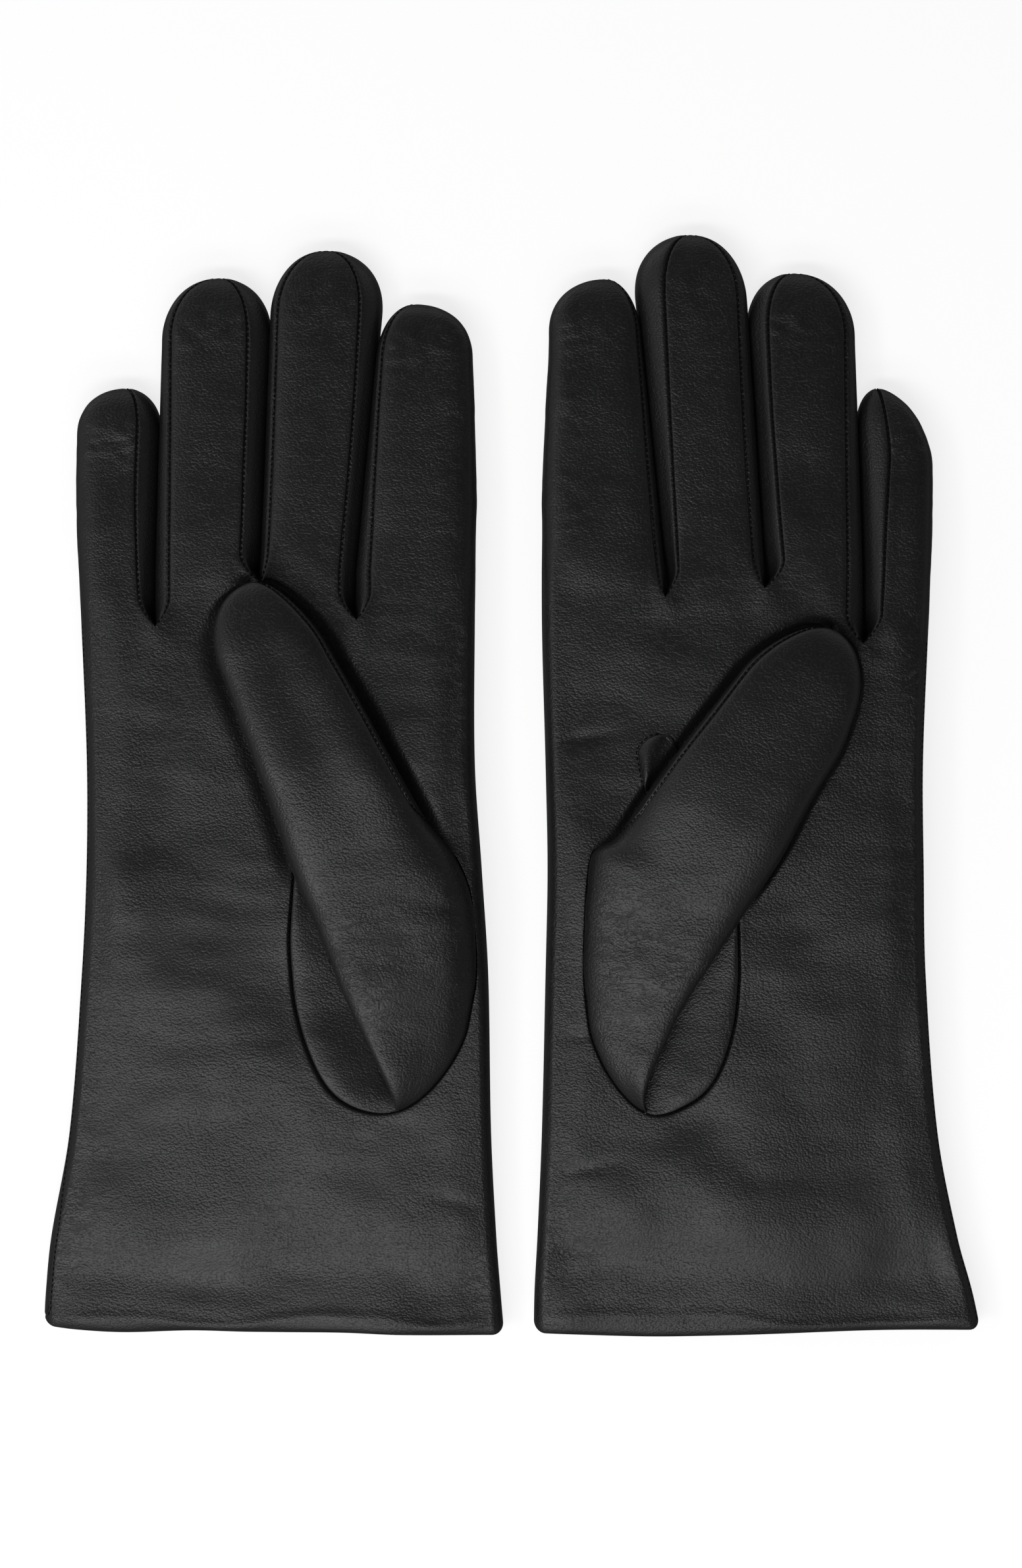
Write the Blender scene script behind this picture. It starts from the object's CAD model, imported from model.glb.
# %% [markdown]
# # A pair of leather gloves
#
# Two lined leather gloves lie on their backs, palms up, with the thumbs folded across the palms.
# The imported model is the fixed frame: it says where each piece is and which hinge moves it. This
# lesson dresses that frame with leather that has rolled seams, grain, creases and real stitches.
# Shapes are worked out in millimetres in each glove's own frame: u runs from the index edge to the
# little-finger edge, y runs towards the fingertips, and z is the height above the table.

import bpy
import numpy as np
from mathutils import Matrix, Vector


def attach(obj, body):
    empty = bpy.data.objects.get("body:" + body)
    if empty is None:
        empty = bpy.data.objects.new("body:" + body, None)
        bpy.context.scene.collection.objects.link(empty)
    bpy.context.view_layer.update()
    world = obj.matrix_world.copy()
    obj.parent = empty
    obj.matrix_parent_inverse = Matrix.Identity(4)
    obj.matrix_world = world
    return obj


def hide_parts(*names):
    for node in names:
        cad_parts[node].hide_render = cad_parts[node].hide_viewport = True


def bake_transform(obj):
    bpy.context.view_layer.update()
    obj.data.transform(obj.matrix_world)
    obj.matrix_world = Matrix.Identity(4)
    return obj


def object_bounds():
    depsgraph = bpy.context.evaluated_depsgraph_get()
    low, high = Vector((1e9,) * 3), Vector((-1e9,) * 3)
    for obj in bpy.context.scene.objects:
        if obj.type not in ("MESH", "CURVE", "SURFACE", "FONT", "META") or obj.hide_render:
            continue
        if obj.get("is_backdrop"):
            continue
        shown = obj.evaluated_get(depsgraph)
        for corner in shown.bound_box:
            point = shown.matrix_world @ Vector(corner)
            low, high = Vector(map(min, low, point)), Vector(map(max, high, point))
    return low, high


MM = 0.001
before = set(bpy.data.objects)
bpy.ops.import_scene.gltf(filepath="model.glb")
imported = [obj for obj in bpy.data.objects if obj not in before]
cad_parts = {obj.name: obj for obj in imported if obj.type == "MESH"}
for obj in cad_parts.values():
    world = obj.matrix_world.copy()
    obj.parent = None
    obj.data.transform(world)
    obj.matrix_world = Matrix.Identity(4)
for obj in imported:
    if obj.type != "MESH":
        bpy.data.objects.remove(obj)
cad_box = [list(corner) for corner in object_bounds()]

# %% [markdown]
# ## Camera
#
# The photo looks straight down from far away. A long lens keeps the sides of the fingers out of
# sight. Its height follows from how many millimetres the whole picture spans at the level of the
# gloves' outline.

# %% Camera
PHOTO_PIXELS = (1552, 2380)
MM_PER_PIXEL = 0.1625
OUTLINE_LEVEL = 6.5
LENS = 100.0
SENSOR = 36.0

camera_data = bpy.data.cameras.new("camera")
camera_data.lens = LENS
camera_data.sensor_width = SENSOR
camera = bpy.data.objects.new("camera", camera_data)
camera_height = OUTLINE_LEVEL + PHOTO_PIXELS[1] * MM_PER_PIXEL * LENS / SENSOR
camera.location = (0.0, 0.0, camera_height * MM)
bpy.context.scene.collection.objects.link(camera)
bpy.context.scene.camera = camera
print("camera height:", round(camera_height), "mm")

# %% [markdown]
# ## Nodes in one line
#
# The sky, the finishes and the stitches are all node trees. A few small functions keep them short:
# `node` makes a node and sets or links its inputs, `calc` is one step of arithmetic, and `remap`
# runs a value from one range to another.


# %% Node helpers
def feed(tree, socket, value):
    """Link a socket to another node's socket, or set its plain value."""
    if isinstance(value, bpy.types.NodeSocket):
        tree.links.new(value, socket)
    else:
        socket.default_value = value


def node(tree, kind, settings=None, **inputs):
    made = tree.nodes.new(kind)
    for name, value in (settings or {}).items():
        setattr(made, name, value)
    for name, value in inputs.items():
        feed(tree, made.inputs[name.replace("_", " ")], value)
    return made


def calc(tree, operation, *values, kind="ShaderNodeMath"):
    made = node(tree, kind, {"operation": operation})
    for socket, value in zip(made.inputs, values):
        feed(tree, socket, value)
    return made.outputs[0]


def remap(tree, value, source, target, easing="LINEAR"):
    made = node(tree, "ShaderNodeMapRange", {"interpolation_type": easing}, Value=value)
    for socket, limit in zip(made.inputs[1:5], source + target):
        socket.default_value = limit
    return made.outputs[0]


def new_paint(name, **values):
    """A material, its node tree and its shader, with the shader's plain values set."""
    paint = bpy.data.materials.new(name)
    paint.use_nodes = True
    shader = paint.node_tree.nodes["Principled BSDF"]
    for socket, value in values.items():
        shader.inputs[socket.replace("_", " ")].default_value = value
    return paint, paint.node_tree, shader


def grey(level):
    return (level, level, level, 1.0)


print("node helpers ready")

# %% [markdown]
# ## Floor and light
#
# Black leather shows its shape only by what it reflects. The floor is a pale light table that
# reflections don't see, so the gloves' rims stay dark. The sky is almost black overhead. Low down
# it has a pale ring, brighter on the left and beyond the fingertips, which lights the rolled edges.
# Three long soft lamps, on the left and over the cuffs, give the lower palms a sheen that fades
# towards the fingers. The sky's strength is a product of fades: each one runs from one level to
# another along one axis of the direction.

# %% Floor and light
FLOOR_SIZE = 16.0
FLOOR_DROP = 0.0003
FLOOR_GLOW = 0.78
LAMPS = (
    ("palm_lamp", (-0.35, -0.42, 0.95), (-0.35, -0.05, 0.0), (1.1, 0.2), 4.3),
    ("side_lamp", (-0.75, -0.1, 0.95), (0.0, -0.05, 0.0), (1.2, 0.2), 1.4),
    ("front_lamp", (-0.1, -0.95, 0.85), (-0.1, -0.1, 0.0), (1.4, 0.25), 2.8),
)
SKY_FADES = (
    ("Z", (0.38, 0.72), (0.26, 0.07)),
    ("Z", (0.05, 0.42), (2.2, 1.0)),
    ("Z", (-0.12, 0.1), (0.2, 1.0)),
    ("X", (-0.8, 0.2), (1.0, 0.5)),
    ("Y", (0.25, 0.7), (1.0, 2.4)),
)


def make_floor():
    half = FLOOR_SIZE / 2
    corners = [(-half, -half), (half, -half), (half, half), (-half, half)]
    mesh = bpy.data.meshes.new("floor")
    mesh.from_pydata([(x, y, -FLOOR_DROP) for x, y in corners], [], [(0, 1, 2, 3)])
    paint, _, _ = new_paint(
        "floor_paint",
        Base_Color=grey(0.4),
        Roughness=0.9,
        Emission_Color=grey(1.0),
        Emission_Strength=FLOOR_GLOW,
    )
    mesh.materials.append(paint)
    floor = bpy.data.objects.new("floor", mesh)
    floor.visible_glossy = False
    bpy.context.scene.collection.objects.link(floor)
    return floor


def area_lamp(name, place, target, size, watts):
    data = bpy.data.lights.new(name, "AREA")
    data.shape = "RECTANGLE"
    data.size, data.size_y = size
    data.energy = watts
    lamp = bpy.data.objects.new(name, data)
    lamp.location = place
    aim = Vector(target) - Vector(place)
    lamp.rotation_euler = aim.to_track_quat("-Z", "Y").to_euler()
    bpy.context.scene.collection.objects.link(lamp)


def make_sky():
    sky = bpy.data.worlds.new("sky")
    sky.use_nodes = True
    tree = sky.node_tree
    background = tree.nodes["Background"].inputs
    view = node(tree, "ShaderNodeTexCoord")
    axes = node(tree, "ShaderNodeSeparateXYZ", Vector=view.outputs["Generated"]).outputs
    glow = 1.0
    for axis, reach, level in SKY_FADES:
        glow = calc(tree, "MULTIPLY", glow, remap(tree, axes[axis], reach, level, "SMOOTHSTEP"))
    feed(tree, background["Strength"], glow)
    background["Color"].default_value = grey(1.0)
    return sky


make_floor()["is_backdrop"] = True
for lamp in LAMPS:
    area_lamp(*lamp)
bpy.context.scene.world = make_sky()
bpy.context.scene.view_settings.view_transform = "Standard"
print("lamps:", len(bpy.data.lights))

# %% [markdown]
# ## Curves, roundings and ripples
#
# A few small functions make every outline. `curve` runs smoothly through named knots, `arch` is the
# upper half of a superellipse, and `ripple` is gradient noise, which gives leather its slow
# unevenness. They work on whole arrays, so a panel of thousands of points takes one call.


# %% Helpers
LOOP_STEPS = 6000
NOISE_SEED = 11
NOISE_SIZE = 256


def lerp(a, b, t):
    return a + (b - a) * t


def smooth(t):
    c = np.clip(t, 0.0, 1.0)
    return c * c * (3.0 - 2.0 * c)


def arch(a, power):
    return np.maximum(1.0 - np.abs(a) ** power, 0.0) ** (1.0 / power)


def hump(x, middle, width):
    return np.exp(-(((x - middle) / width) ** 2))


def inside(place):
    """1 across the middle of a strip, fading to 0 at its edges, where place is -1 or 1."""
    return 1.0 - place**6


def curve(x, v, t):
    """A smooth curve through the knots (x, v), straight beyond the first and the last."""
    x, v, t = np.asarray(x, float), np.asarray(v, float), np.asarray(t, float)
    k = np.arange(len(x))
    before, after = np.maximum(k - 1, 0), np.minimum(k + 1, len(x) - 1)
    slope = (v[after] - v[before]) / (x[after] - x[before])
    i = np.clip(np.searchsorted(x, t, side="right") - 1, 0, len(x) - 2)
    width = x[i + 1] - x[i]
    s = np.clip((t - x[i]) / width, 0.0, 1.0)
    r = 1.0 - s
    inside = v[i] * r * r * (1 + 2 * s) + v[i + 1] * s * s * (3 - 2 * s)
    inside = inside + width * s * r * (slope[i] * r - slope[i + 1] * s)
    return inside + slope[0] * np.minimum(t - x[0], 0.0) + slope[-1] * np.maximum(t - x[-1], 0.0)


def loop_table(power, width, height):
    """A quarter of a superellipse from its side (0) to its top (0.25), in steps of arc length."""
    t = np.linspace(0.0, np.pi / 2, LOOP_STEPS)
    place, lift = np.cos(t) ** (2 / power), np.sin(t) ** (2 / power)
    steps = np.hypot(np.diff(place) * width, np.diff(lift) * height)
    length = np.concatenate([[0.0], np.cumsum(steps)])
    return 0.25 * length / length[-1], place, lift


def on_loop(table, r):
    """Place across and lift at r turns round a loop, from its +1 side over the top."""
    turns, place, lift = table
    quarter = np.floor(r * 4.0).astype(int)
    part = r - 0.25 * quarter
    quarter = quarter % 4
    part = np.where(quarter % 2 == 0, part, 0.25 - part)
    sign_place = np.where((quarter == 0) | (quarter == 3), 1.0, -1.0)
    sign_lift = np.where(quarter < 2, 1.0, -1.0)
    return sign_place * np.interp(part, turns, place), sign_lift * np.interp(part, turns, lift)


def loop_turn(table, place):
    """The turn in the first quarter with that place across."""
    return np.interp(place, table[1][::-1], table[0][::-1])


noise_source = np.random.default_rng(NOISE_SEED)
NOISE_ARROWS = noise_source.normal(size=(NOISE_SIZE, 3))
NOISE_ORDER = noise_source.permutation(NOISE_SIZE)


def ripple(points, size, shift):
    """Gradient noise of about -1 to 1, with features of that size in mm."""
    p = points / size + shift
    cell = np.floor(p).astype(int)
    part = p - cell
    ease = part**3 * (part * (part * 6 - 15) + 10)
    total = np.zeros(p.shape[:-1])
    for corner in np.ndindex(2, 2, 2):
        c = cell + corner
        pick = 0
        for axis in range(3):
            pick = NOISE_ORDER[(pick + c[..., axis]) % NOISE_SIZE]
        weight = np.prod(np.where(corner, ease, 1.0 - ease), axis=-1)
        total += weight * np.sum(NOISE_ARROWS[pick] * (part - corner), axis=-1)
    return total


def ripples(points, *parts):
    """A sum of ripples, each given by its height, size and shift."""
    return sum(height * ripple(points, size, shift) for height, size, shift in parts)


print("half way along a test curve:", float(curve((0, 1, 2), (0, 1, 0), 0.5)))

# %% [markdown]
# ## The two gloves in numbers
#
# Both gloves have the same cut but don't lie quite alike, so each has its own outline: the two
# edges of the hand, the fingertips, the gaps between the fingers, the seams and the thumb. The
# seam places are shares of a finger's half width, at its root, its middle and its tip. The thumb
# is measured along a line from the foot of its seam to its tip. A rounded end is given by its length
# and the power of its curve.

# %% Numbers of the gloves
EDGE_Y = (-135.5, -125.0, -112.0, -86.0, -47.0, -21.0, 5.0, 40.0, 70.0)
HAND_Y = (-135.5, -86.0, -10.0, 40.0)
HAND_H = (9.5, 11.5, 13.5, 13.0)
CUFF_Y = HAND_Y[0]
KNUCKLE_Y = HAND_Y[-1]
GAP_ROOT_Y = 52.0
GAP_TIP_Y = 115.0
ROOT_GAP = 0.03
TOUCH = 0.05
TOUCH_LENGTH = 5.0
TIP_H = 10.5
FINGERS = ("index", "middle", "ring", "little")
FINGER_ENDS = ((13.0, 2.1), (16.0, 2.1), (15.5, 2.1), (11.5, 2.1))
SEAM_SHARES = (0.0, 0.5, 1.0)
THUMB_H_SHARES = (0.12, 0.36, 0.6, 0.85)
THUMB_H = (6.5, 9.5, 11.5, 10.5)

RIGHT = dict(
    side="right",
    centre=-57.5,
    mirror=-1.0,
    index_edge=(55.8, 54.9, 53.9, 52.6, 51.9, 50.3, 48.6, 48.6, 49.0),
    little_edge=(58.0, 57.4, 56.1, 51.5, 48.4, 47.2, 47.1, 48.5, 49.8),
    edge_tip=(48.0, 49.6),
    cuff_places=(-1.0, -0.55, -0.3, 0.1, 0.35, 0.65, 0.88, 1.0),
    cuff_drop=(-0.3, -0.2, 0.3, 0.5, 0.9, 0.5, 1.3, 2.2),
    tip_y=(118.4, 131.6, 124.8, 97.6),
    tip_u=(-34.0, -12.0, 14.4, 37.6),
    round_low=FINGER_ENDS,
    round_high=FINGER_ENDS,
    gap_root=(-19.6, 4.0, 29.8),
    gap_tip=(-25.4, 1.6, 28.2),
    crotch_y=(40.2, 49.4, 38.6),
    seam_low=((-1, -1, -1), (-0.64, -0.66, -0.58), (-0.61, -0.61, -0.57), (-0.62, -0.47, -0.49)),
    seam_high=((0.76, 0.85, 0.93), (0.87, 0.87, 0.9), (0.73, 0.8, 0.88), (1, 1, 1)),
    side_seam_climb=58.0,
    thumb_line=((-29.0, -80.4), (6.0, 49.2)),
    thumb_out_shares=(0.12, 0.2, 0.28, 0.36, 0.43, 0.5, 0.6, 0.72, 0.85),
    thumb_out=(22.8, 27.8, 30.3, 31.7, 30.1, 26.2, 22.7, 18.8, 14.2),
    thumb_in_shares=(0.12, 0.24, 0.37, 0.47, 0.58, 0.74, 0.85),
    thumb_in=(1.8, 4.7, 6.8, 8.7, 9.5, 11.2, 12.6),
    thumb_tip_shift=0.0,
    thumb_corner=0.42,
    gusset_shares=(0.0, 0.034, 0.078, 0.154, 0.233, 0.302, 0.363, 0.473),
    gusset_edge=(0.0, 10.9, 14.9, 17.0, 17.1, 15.7, 13.8, 8.7),
    hollow=(2.2, 2.6),
    edge_folds=(-96.0, -24.0),
    quirk=(-19.4, -3.4),
)
LEFT = dict(
    side="left",
    centre=56.0,
    mirror=1.0,
    index_edge=(50.4, 50.2, 49.5, 48.4, 47.5, 47.0, 47.5, 48.4, 48.3),
    little_edge=(60.2, 57.9, 54.3, 49.3, 46.3, 45.8, 45.6, 47.0, 48.1),
    edge_tip=(46.6, 48.0),
    cuff_places=(-1.0, -0.5, -0.1, 0.3, 0.6, 1.0),
    cuff_drop=(0.2, -0.7, -0.3, 0.5, 0.9, 1.0),
    tip_y=(124.6, 135.5, 126.0, 97.6),
    tip_u=(-32.8, -12.0, 13.6, 34.6),
    round_low=FINGER_ENDS,
    round_high=FINGER_ENDS[:3] + ((19.0, 1.7),),
    gap_root=(-18.2, 6.2, 30.4),
    gap_tip=(-24.6, 2.2, 28.4),
    crotch_y=(45.8, 48.0, 34.4),
    seam_low=((-1, -1, -1), (-0.75, -0.6, -0.44), (-0.58, -0.65, -0.62), (-0.5, -0.3, -0.02)),
    seam_high=((0.88, 0.9, 0.97), (0.8, 0.8, 0.88), (0.66, 0.76, 0.86), (1, 1, 1)),
    side_seam_climb=0.0,
    thumb_line=((-22.0, -81.0), (25.2, 36.6)),
    thumb_out_shares=(0.11, 0.19, 0.315, 0.4, 0.435, 0.47, 0.57, 0.67, 0.78, 0.86),
    thumb_out=(21.4, 26.8, 33.0, 36.3, 36.5, 33.2, 30.1, 26.9, 22.8, 19.9),
    thumb_in_shares=(0.11, 0.22, 0.31, 0.45, 0.56, 0.69, 0.79, 0.86),
    thumb_in=(-3.3, -2.2, 0.0, 3.6, 6.3, 7.9, 9.9, 9.7),
    thumb_tip_shift=-3.0,
    thumb_corner=0.435,
    gusset_shares=(0.0, 0.034, 0.08, 0.14, 0.223, 0.305, 0.365, 0.406),
    gusset_edge=(-0.5, 7.1, 11.0, 12.3, 11.3, 8.3, 5.2, 2.9),
    hollow=(1.3, 0.9),
    edge_folds=(-109.0, -89.0, -56.0, 17.0),
    quirk=(-22.9, -2.7),
)
GLOVES = (RIGHT, LEFT)
print("gloves:", [glove["side"] for glove in GLOVES])

# %% [markdown]
# ## Thumb outline
#
# The thumb is a set-in tube. Its ball is sewn into a U-shaped opening of the palm, and its upper
# part lies folded across the palm. Widths on both sides of the thumb's line and a round foot and
# tip give its outline, and the same numbers place the U-shaped seam in the palm.

# %% Outline of the thumb
THUMB_FOOT = 0.12
THUMB_CAP = 0.14
THUMB_MIDDLE = 0.5


def thumb_axis(glove):
    """Start, direction and length of the thumb's line."""
    start, tip = np.array(glove["thumb_line"])
    length = np.linalg.norm(tip - start)
    return start, (tip - start) / length, length


def thumb_at(glove, s, n):
    """u and y at share s of the thumb's line, n to its little-finger side."""
    start, ahead, length = thumb_axis(glove)
    along = length * s
    return start[0] + ahead[0] * along + ahead[1] * n, start[1] + ahead[1] * along - ahead[0] * n


def along_thumb(glove, u, y):
    """Share along the thumb's line and distance to its little-finger side, mm, of a point."""
    start, ahead, length = thumb_axis(glove)
    du, dy = u - start[0], y - start[1]
    return (du * ahead[0] + dy * ahead[1]) / length, du * ahead[1] - dy * ahead[0]


def thumb_close(s):
    foot = arch(1.0 - np.clip(s / THUMB_FOOT, 0.0, 1.0), 2.0)
    tip = arch(np.clip((s - 1.0 + THUMB_CAP) / THUMB_CAP, 0.0, 1.0), 2.0)
    return np.minimum(foot, tip)


def thumb_side(glove, s, side):
    """Distance of the thumb's outer (side -1) or crease (side 1) edge from its line."""
    name = "thumb_out" if side < 0 else "thumb_in"
    width = side * curve(glove[name + "_shares"], glove[name], s)
    shift = np.where(s > THUMB_MIDDLE, glove["thumb_tip_shift"], 0.0)
    return lerp(shift, width, thumb_close(s))


def gusset_side(glove, s):
    """Distance of the palm's seam with the gusset from the thumb's line."""
    roots = np.sqrt(np.array(glove["gusset_shares"]))
    return curve(roots, glove["gusset_edge"], np.sqrt(s))


def palm_seam(glove, count=160):
    """The U-shaped seam from the thumb's outer corner round its foot to the top of the gusset."""
    down = glove["thumb_corner"] * np.linspace(1.0, 0.0, count) ** 2
    up = glove["gusset_shares"][-1] * np.linspace(0.0, 1.0, count)[1:] ** 2
    outer = thumb_at(glove, down, thumb_side(glove, down, -1))
    inner = thumb_at(glove, up, gusset_side(glove, up))
    return np.concatenate([np.stack(outer, axis=1), np.stack(inner, axis=1)])


for glove in GLOVES:
    steps = np.linalg.norm(np.diff(palm_seam(glove), axis=0), axis=1)
    print(glove["side"], "palm seam:", round(float(steps.sum())), "mm")

# %% [markdown]
# ## The form of a hand
#
# An empty glove is a flattened tube: flat above and below, rolled at its edges. The ends of the
# finger seams lift it a little, the folded thumb presses it in, the hem swells along the cuff, and
# everywhere it is uneven. One function gives the height of that form at any point, so that panels
# which meet share it.

# %% Form of the hand
ROLL_WIDTH = 2.8
SLOPE_WIDTH = 11.0
SLOPE_DROP = 0.15
PUCKER_HEIGHT = 0.6
PUCKER_WIDTH = 3.0
PUCKER_SPREAD = 0.3
PUCKER_LENGTH = 6.0
HOLLOW_DEPTH = 1.6
HOLLOW_STARTS = 0.42
HOLLOW_BLEND = 0.12
HOLLOW_TURN = 8.0
BEYOND_TIP = 130.0
PALM_RIPPLES = ((1.0, 40.0, 0.0), (0.55, 19.0, 3.7), (0.04, 6.0, 4.3))
PULLED_RIPPLE = (0.1, 13.0, 9.1)
PULLED = np.array([1.0, 2.2, 1.0])
HEM_SWELLS = ((0.3, 3.4, 1.5), (-0.7, 14.5, 6.5), (0.35, 31.0, 8.0))
HEM_WANDER = (2.5, 22.0, 6.6)
ALONG_CUFF = np.array([1.0, 0.0, 1.0])
EDGE_FOLD = 0.4
EDGE_FOLD_WIDTH = 1.5
EDGE_FOLD_SLANT = 0.15
EDGE_FOLD_PLACE = 9.0
EDGE_FOLD_REACH = 7.0
UNEVEN_FROM = 9.0
HALF_CUFF = 55.0
CORNER_RADIUS = 3.0


def hand_edge(glove, y, side):
    knots = glove["index_edge"] if side < 0 else glove["little_edge"]
    tip = glove["edge_tip"][0 if side < 0 else 1]
    low = curve(EDGE_Y, knots, np.minimum(y, EDGE_Y[-1]))
    high = lerp(knots[-1], tip, smooth((y - EDGE_Y[-1]) / (GAP_TIP_Y - EDGE_Y[-1])))
    return side * np.where(y < EDGE_Y[-1], low, high)


def hand_height(y):
    return np.where(y < KNUCKLE_Y, curve(HAND_Y, HAND_H, np.minimum(y, KNUCKLE_Y)), HAND_H[-1])


def gap_line(glove, k, y):
    share = np.maximum(y - GAP_ROOT_Y, 0.0) / (GAP_TIP_Y - GAP_ROOT_Y)
    return lerp(glove["gap_root"][k], glove["gap_tip"][k], share)


def half_gap(glove, k, y):
    """Half the gap between two fingers: they part at the crotch and press together beyond it."""
    return lerp(ROOT_GAP, -TOUCH, smooth((y - glove["crotch_y"][k]) / TOUCH_LENGTH))


def across(glove, u, y):
    """Place across the hand, from -1 at the index edge to 1 at the little-finger edge."""
    low, high = hand_edge(glove, y, -1), hand_edge(glove, y, 1)
    return np.clip(2.0 * (u - low) / (high - low) - 1.0, -1.0, 1.0)


def from_edge(glove, u, y):
    """Distance from the nearer edge of the hand, mm."""
    return np.maximum(np.minimum(u - hand_edge(glove, y, -1), hand_edge(glove, y, 1) - u), 0.0)


def hand_rise(d):
    """Share of the half height at d mm from the edge: a tight roll, then a gentle slope."""
    roll = arch(np.clip(1.0 - d / ROLL_WIDTH, 0.0, 1.0), 2.0)
    return roll * (1.0 - SLOPE_DROP * (1.0 - smooth(d / SLOPE_WIDTH)))


def crotch_pucker(glove, u, y):
    """The seams' ends lift the palm a little below each crotch."""
    lift = np.zeros(np.broadcast(u, y).shape)
    for k in range(3):
        below = np.maximum(glove["crotch_y"][k] - y, 0.0)
        aside = hump(u, gap_line(glove, k, y), PUCKER_WIDTH + PUCKER_SPREAD * below)
        lift = np.maximum(lift, aside * hump(below, 0.0, PUCKER_LENGTH))
    return PUCKER_HEIGHT * lift


def thumb_hollow(glove, u, y):
    """How far the folded thumb presses the palm in, under it and close beside it, mm."""
    s, n = along_thumb(glove, u, y)
    near = np.clip(s, 0.0, 1.0)
    outer, inner = thumb_side(glove, near, -1), thumb_side(glove, near, 1)
    beside = np.maximum(np.maximum(outer - n, n - inner), 0.0)
    off = np.hypot(beside, BEYOND_TIP * np.maximum(s - 1.0, 0.0))
    width = lerp(*glove["hollow"], smooth(0.5 + (n - (outer + inner) / 2) / HOLLOW_TURN))
    return HOLLOW_DEPTH * smooth((s - HOLLOW_STARTS) / HOLLOW_BLEND) * hump(off, 0.0, width)


def hand_ripple(glove, u, y):
    """Unevenness of the lying palm, the swell of its hem and the folds at its index edge, mm."""
    flat = np.stack(np.broadcast_arrays(u + glove["centre"], y, 0.0 * y), axis=-1)
    uneven = ripples(flat, *PALM_RIPPLES) + ripples(flat * PULLED, PULLED_RIPPLE)
    up = y - CUFF_Y + ripples(flat * ALONG_CUFF, HEM_WANDER)
    hem = sum(height * hump(up, place, width) for height, place, width in HEM_SWELLS)
    slanted = y - EDGE_FOLD_SLANT * u
    folds = sum(hump(slanted, level, EDGE_FOLD_WIDTH) for level in glove["edge_folds"])
    beside = hump(u - hand_edge(glove, y, -1), EDGE_FOLD_PLACE, EDGE_FOLD_REACH)
    return uneven + hem - EDGE_FOLD * beside * folds


def hand_surface(glove, u, y, face, pressed=True):
    """Height of the palm (face 1), pressed in by the thumb or not, or of the back (face -1)."""
    half = hand_height(y) / 2.0
    edge = from_edge(glove, u, y)
    lift = half * hand_rise(edge)
    if face > 0:
        uneven = hand_ripple(glove, u, y) + crotch_pucker(glove, u, y)
        if pressed:
            uneven = uneven - thumb_hollow(glove, u, y)
        lift = lift + uneven * smooth(edge / UNEVEN_FROM)
    return half + face * lift


def on_hand(glove, u, y, face=1, rise=0.0):
    """Points of the palm or the back, raised by rise mm."""
    return np.stack([u, y, hand_surface(glove, u, y, face) + rise], axis=-1)


def cuff_line(glove, a):
    """The cuff's edge across the hand, a little uneven and with rounded corners."""
    corner = CORNER_RADIUS / HALF_CUFF
    rounding = 1.0 - arch((np.abs(a) - 1.0 + corner).clip(0.0) / corner, 2.0)
    drop = curve(glove["cuff_places"], glove["cuff_drop"], a)
    return CUFF_Y + drop + CORNER_RADIUS * rounding


print("palm height at the wrist:", round(float(hand_height(np.array(-10.0))), 1), "mm")

# %% [markdown]
# ## Panels of leather
#
# A glove is cut from thin panels. Each one here is a grid of points on its outer side. The grid is
# closed to a shell of the leather's thickness, so every panel is a solid piece with real edges.
# Beside a seam the leather stands a little proud and then dips into the seam: that is what makes a
# sewn edge readable. Two values travel with each point: its place at rest, so that the grain
# doesn't slide when a finger bends, and how creased the leather is there.

# %% Panels
LEATHER_T = 0.8
LINING_T = 0.7
LIP_DIP = 0.6
LIP_DIP_WIDTH = 0.3
LIP_PUFF = 0.05
LIP_PUFF_PLACE = 1.4
LIP_PUFF_WIDTH = 0.9
SHARP_ANGLE = np.radians(55.0)


def quads(numbers, ring=False):
    """Faces of a grid of point numbers, whose rows are closed to rings if asked."""
    left = numbers if ring else numbers[:, :-1]
    right = np.roll(numbers, -1, axis=1) if ring else numbers[:, 1:]
    return np.stack([left[:-1], right[:-1], right[1:], left[1:]], axis=-1).reshape(-1, 4)


def grid_faces(grid, turned=False, ring=False):
    faces = quads(np.arange(grid[..., 0].size).reshape(grid.shape[:2]), ring)
    return faces[:, ::-1] if turned else faces


def grid_normals(grid, faces):
    points = grid.reshape(-1, 3)
    p = points[faces]
    cross = np.cross(p[:, 2] - p[:, 0], p[:, 3] - p[:, 1])
    total = np.zeros_like(points)
    for axis in range(3):
        weight = np.repeat(cross[:, axis], 4)
        total[:, axis] = np.bincount(faces.ravel(), weight, len(points))
    total /= np.maximum(np.linalg.norm(total, axis=1, keepdims=True), 1e-9)
    return total.reshape(grid.shape)


def seam_lip(distance):
    puff = LIP_PUFF * hump(distance, LIP_PUFF_PLACE, LIP_PUFF_WIDTH)
    return puff - LIP_DIP * hump(distance, 0.0, LIP_DIP_WIDTH)


def edge_distance(grid, edge):
    """Distance of each grid point from its row's first (edge 0) or last (edge -1) point, mm."""
    step = np.linalg.norm(np.diff(grid, axis=1), axis=2)
    zero = np.zeros((len(grid), 1))
    if edge == 0:
        return np.concatenate([zero, np.cumsum(step, axis=1)], axis=1)
    return np.concatenate([np.cumsum(step[:, ::-1], axis=1)[:, ::-1], zero], axis=1)


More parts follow.
